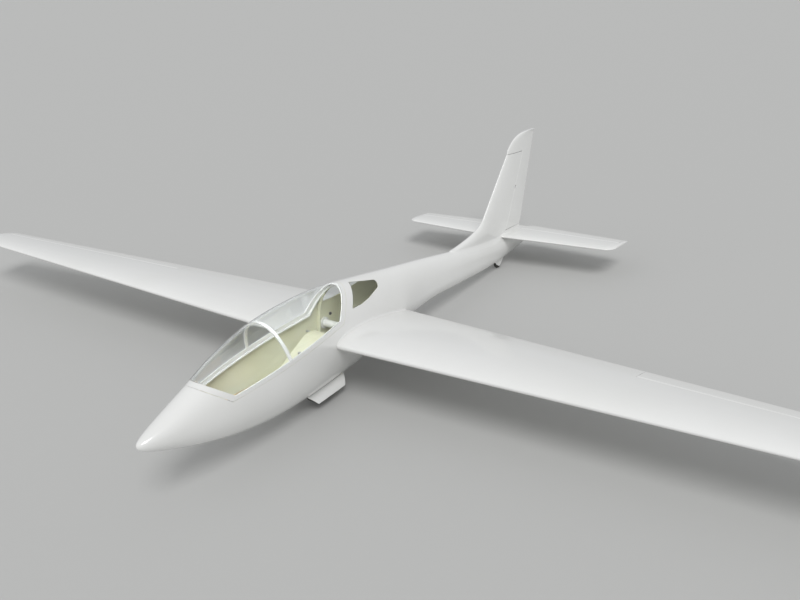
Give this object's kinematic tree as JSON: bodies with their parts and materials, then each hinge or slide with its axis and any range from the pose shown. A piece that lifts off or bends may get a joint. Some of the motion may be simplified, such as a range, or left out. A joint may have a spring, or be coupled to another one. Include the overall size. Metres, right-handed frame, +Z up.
{
  "type": "model sailplane",
  "caption": "Radio controlled aerobatic sailplane with tapered mid-mounted wings, clear hinged canopy, low tailplane, moving control surfaces and a retractable main wheel.",
  "frame": {"origin": "middle of the bounding box, on the ground under the wheels", "axes": "+X forward to the nose, +Y along the span to the left wing tip, +Z up; resting on both wheels with level wings"},
  "size_m": [1.8858, 3.5, 0.4463],
  "materials": {
    "white_gelcoat": "glossy gelcoat",
    "clear_glass": "clear, glossy",
    "raw_fibre": "raw glass fibre",
    "plywood": "bare plywood",
    "dark_plastic": "satin",
    "white_plastic": "satin",
    "steel": "satin",
    "tyre": "matt rubber"
  },
  "bodies": {
    "airframe": {"fuselage_shell": "white_gelcoat", "cockpit_sill": "white_gelcoat", "nose_former": "plywood", "main_former": "raw_fibre", "tail_formers": "plywood", "wheel_box": "raw_fibre", "equipment_tray": "plywood", "wing_tube": "white_plastic", "joiner_rod": "dark_plastic", "rear_window_left": "clear_glass", "rear_window_right": "clear_glass", "battery": "dark_plastic", "receiver": "dark_plastic", "tow_release": "steel", "tow_servo": "dark_plastic", "gear_frame": "plywood", "retract_drive": "dark_plastic", "rudder_servo": "dark_plastic", "elevator_servo": "dark_plastic", "tail_wheel_fairing": "white_gelcoat", "wing_left": "white_gelcoat", "wing_right": "white_gelcoat", "root_pins": "steel", "stabilizer_left": "white_gelcoat", "stabilizer_right": "white_gelcoat", "tail_joiners": "dark_plastic", "aileron_servos": "dark_plastic", "servo_covers": "white_gelcoat", "cover_screws": "steel", "hinge_pins": "steel", "canopy_hinges": "steel"},
    "aileron_left": {"aileron_left": "white_gelcoat", "aileron_left_fittings": "steel"},
    "aileron_left_arm": {"aileron_left_servo_arm": "white_plastic"},
    "aileron_left_rod": {"aileron_left_pushrod": "steel"},
    "aileron_right": {"aileron_right": "white_gelcoat", "aileron_right_fittings": "steel"},
    "aileron_right_arm": {"aileron_right_servo_arm": "white_plastic"},
    "aileron_right_rod": {"aileron_right_pushrod": "steel"},
    "elevator": {"elevator_left": "white_gelcoat", "elevator_right": "white_gelcoat", "elevator_torque_tube": "steel"},
    "elevator_arm": {"elevator_servo_arm": "white_plastic"},
    "elevator_rod": {"elevator_pushrod": "steel"},
    "rudder": {"rudder": "white_gelcoat", "rudder_torque_tube": "steel"},
    "rudder_arm": {"rudder_servo_arm": "white_plastic"},
    "rudder_rod": {"rudder_pushrod": "steel"},
    "canopy": {"canopy_frame": "white_gelcoat", "canopy_glass": "clear_glass", "canopy_hinge_arms": "steel"},
    "canopy_latch": {"canopy_latch": "steel"},
    "gear": {"gear_leg": "steel", "main_axle": "steel"},
    "main_wheel": {"main_tyre": "tyre", "main_hub": "white_plastic"},
    "gear_door_left": {"gear_door_left": "white_gelcoat"},
    "gear_door_right": {"gear_door_right": "white_gelcoat"},
    "tail_wheel": {"tail_wheel": "tyre"},
    "tow_pin": {"tow_pin": "steel"}
  },
  "joints": [
    {"name": "aileron_left_hinge", "type": "hinge", "parent": "airframe", "child": "aileron_left", "pos_m": [0.17271, 1.15, 0.16514], "axis": [0.0736, 0.997, 0.0256], "range_deg": [-20, 25]},
    {"name": "aileron_right_hinge", "type": "hinge", "parent": "airframe", "child": "aileron_right", "pos_m": [0.17271, -1.15, 0.16514], "axis": [-0.0736, 0.997, -0.0256], "range_deg": [-25, 20]},
    {"name": "aileron_left_arm_turn", "type": "hinge", "parent": "airframe", "child": "aileron_left_arm", "pos_m": [0.24623, 1.14441, 0.17166], "axis": [0.0736, 0.997, 0.0256], "range_deg": [-20, 25]},
    {"name": "aileron_left_rod_pivot", "type": "hinge", "parent": "aileron_left_arm", "child": "aileron_left_rod", "pos_m": [0.2481, 1.14468, 0.15577], "axis": [0.0736, 0.997, 0.0256], "range_deg": [-25, 20]},
    {"name": "aileron_right_arm_turn", "type": "hinge", "parent": "airframe", "child": "aileron_right_arm", "pos_m": [0.24623, -1.14441, 0.17166], "axis": [-0.0736, 0.997, -0.0256], "range_deg": [-25, 20]},
    {"name": "aileron_right_rod_pivot", "type": "hinge", "parent": "aileron_right_arm", "child": "aileron_right_rod", "pos_m": [0.2481, -1.14468, 0.15577], "axis": [-0.0736, 0.997, -0.0256], "range_deg": [-20, 25]},
    {"name": "elevator_hinge", "type": "hinge", "parent": "airframe", "child": "elevator", "pos_m": [-0.77287, 0, 0.10195], "axis": [0, 1, 0], "range_deg": [-22, 25]},
    {"name": "elevator_arm_turn", "type": "hinge", "parent": "airframe", "child": "elevator_arm", "pos_m": [-0.47423, 0.006, 0.09632], "axis": [0, 1, 0], "range_deg": [-22, 25]},
    {"name": "elevator_rod_pivot", "type": "hinge", "parent": "elevator_arm", "child": "elevator_rod", "pos_m": [-0.47239, 0.006, 0.08043], "axis": [0, 1, 0], "range_deg": [-25, 22]},
    {"name": "rudder_hinge", "type": "hinge", "parent": "airframe", "child": "rudder", "pos_m": [-0.77547, 0, 0.26574], "axis": [-0.5099, 0, 0.8603], "range_deg": [-28, 28]},
    {"name": "rudder_arm_turn", "type": "hinge", "parent": "airframe", "child": "rudder_arm", "pos_m": [-0.5988, 0, 0.08534], "axis": [-0.5099, 0, 0.8603], "range_deg": [-28, 28]},
    {"name": "rudder_rod_pivot", "type": "hinge", "parent": "rudder_arm", "child": "rudder_rod", "pos_m": [-0.5988, -0.016, 0.08534], "axis": [-0.5099, 0, 0.8603], "range_deg": [-28, 28]},
    {"name": "canopy_hinge", "type": "hinge", "parent": "airframe", "child": "canopy", "pos_m": [0.59926, -0.0804, 0.20622], "axis": [0.9995, 0, -0.0327], "range_deg": [0, 85]},
    {"name": "canopy_latch_slide", "type": "slide", "parent": "canopy", "child": "canopy_latch", "axis": [-0.9995, 0, 0.0327], "range_m": [0, 0.01]},
    {"name": "gear_retract", "type": "hinge", "parent": "airframe", "child": "gear", "pos_m": [0.46124, 0, 0.12028], "axis": [0, 1, 0], "range_deg": [0, 48]},
    {"name": "gear_door_left_hinge", "type": "hinge", "parent": "airframe", "child": "gear_door_left", "pos_m": [0.4525, 0.0313, 0.05676], "axis": [-0.9999, 0, -0.0105], "range_deg": [0, 105]},
    {"name": "gear_door_right_hinge", "type": "hinge", "parent": "airframe", "child": "gear_door_right", "pos_m": [0.4525, -0.0313, 0.05676], "axis": [0.9999, 0, 0.0105], "range_deg": [0, 105]},
    {"name": "main_wheel_spin", "type": "hinge", "parent": "gear", "child": "main_wheel", "pos_m": [0.37635, 0, 0.045], "axis": [0, 1, 0], "continuous": true},
    {"name": "tail_wheel_spin", "type": "hinge", "parent": "airframe", "child": "tail_wheel", "pos_m": [-0.63752, 0, 0.02], "axis": [0, 1, 0], "continuous": true},
    {"name": "tow_pin_slide", "type": "slide", "parent": "airframe", "child": "tow_pin", "axis": [-0.9933, 0, -0.1152], "range_m": [0, 0.01]}
  ],
  "couplings": [
    {"joint": "aileron_right_hinge", "follows": "aileron_left_hinge", "ratio": -1},
    {"joint": "aileron_left_arm_turn", "follows": "aileron_left_hinge", "ratio": 1},
    {"joint": "aileron_left_rod_pivot", "follows": "aileron_left_hinge", "ratio": -1},
    {"joint": "aileron_right_arm_turn", "follows": "aileron_left_hinge", "ratio": -1},
    {"joint": "aileron_right_rod_pivot", "follows": "aileron_left_hinge", "ratio": 1},
    {"joint": "elevator_arm_turn", "follows": "elevator_hinge", "ratio": 1},
    {"joint": "elevator_rod_pivot", "follows": "elevator_hinge", "ratio": -1},
    {"joint": "rudder_arm_turn", "follows": "rudder_hinge", "ratio": 1},
    {"joint": "rudder_rod_pivot", "follows": "rudder_hinge", "ratio": -1},
    {"joint": "gear_door_left_hinge", "follows": "gear_retract", "ratio": 2.1875},
    {"joint": "gear_door_right_hinge", "follows": "gear_retract", "ratio": 2.1875}
  ]
}
